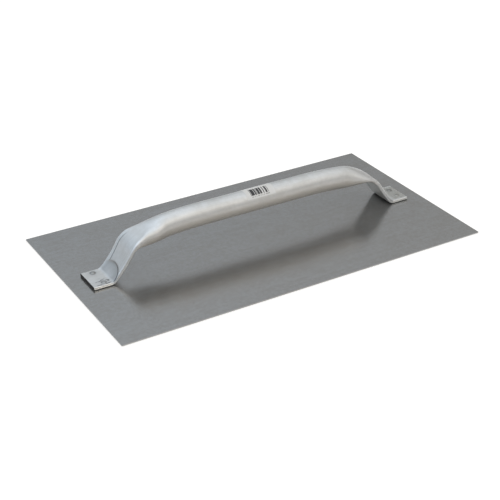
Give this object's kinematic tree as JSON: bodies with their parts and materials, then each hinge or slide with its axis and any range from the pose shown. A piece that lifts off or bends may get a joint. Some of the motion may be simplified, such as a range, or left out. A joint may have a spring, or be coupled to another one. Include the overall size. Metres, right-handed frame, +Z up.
{
  "type": "steel finishing trowel",
  "caption": "Large flat finishing trowel: a thin rectangular steel blade with a bent tube handle whose pressed-flat ends are riveted to it, for smoothing plaster and concrete.",
  "frame": {"origin": "centre of the blade's working face, which is its underside", "axes": "+X along the handle and the blade's long edges, +Y across the blade, +Z up from the working face through the handle"},
  "size_m": [0.5, 0.28, 0.0672],
  "materials": {
    "blade_steel": "cold-rolled sheet, dull grey with a faint grain along its length",
    "handle_aluminium": "satin drawn tube",
    "rivet_steel": "hammered, dull",
    "label_paper": "coated paper sticker"
  },
  "bodies": {
    "root": {"blade": "blade_steel", "handle_tube": "handle_aluminium", "rivet_left_rear": "rivet_steel", "rivet_left_front": "rivet_steel", "rivet_right_rear": "rivet_steel", "rivet_right_front": "rivet_steel", "paper_label": "label_paper"}
  },
  "joints": []
}
